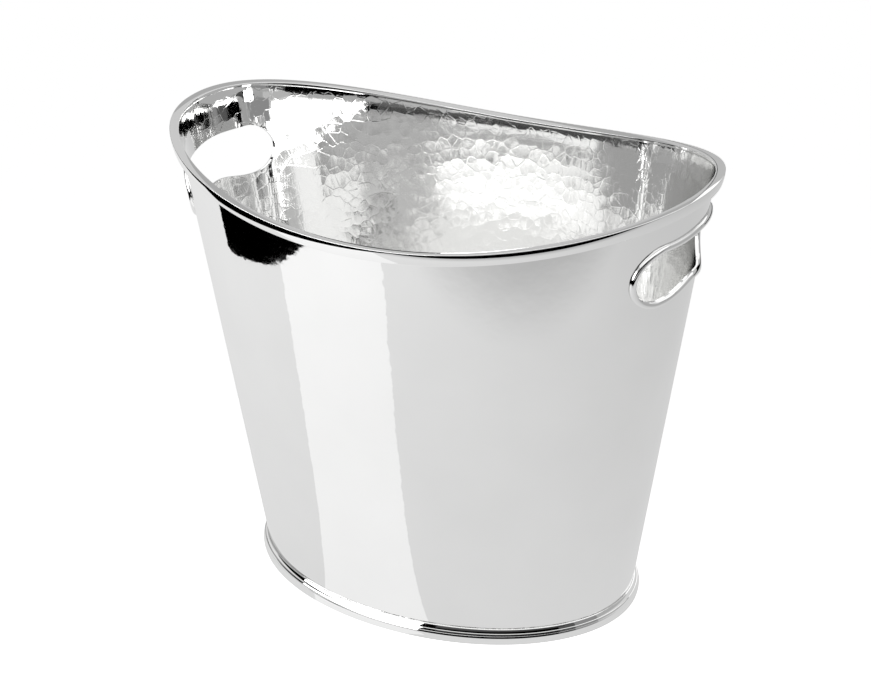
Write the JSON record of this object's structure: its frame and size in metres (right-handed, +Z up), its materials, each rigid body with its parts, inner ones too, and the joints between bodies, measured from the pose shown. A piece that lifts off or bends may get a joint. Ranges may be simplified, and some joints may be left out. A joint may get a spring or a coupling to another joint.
{
  "type": "champagne bucket",
  "caption": "Oval flaring bucket in polished hammered silver, with a rim that dips at the sides, a moulded foot and an oblong hand slot through each end.",
  "frame": {"origin": "on the ground under the middle of the foot", "axes": "+Z up, +X along the oval's length towards one hand slot, +Y across it"},
  "size_m": [0.3396, 0.2156, 0.2859],
  "materials": {
    "silver_wall": "polished",
    "silver_bottom": "satin",
    "silver_foot": "polished",
    "silver_rim": "polished",
    "silver_handle_border": "polished"
  },
  "bodies": {
    "root": {"body_wall": "silver_wall", "bottom_plate": "silver_bottom", "foot_moulding": "silver_foot", "rim_moulding": "silver_rim", "handle_border_left": "silver_handle_border", "handle_border_right": "silver_handle_border"}
  },
  "joints": []
}
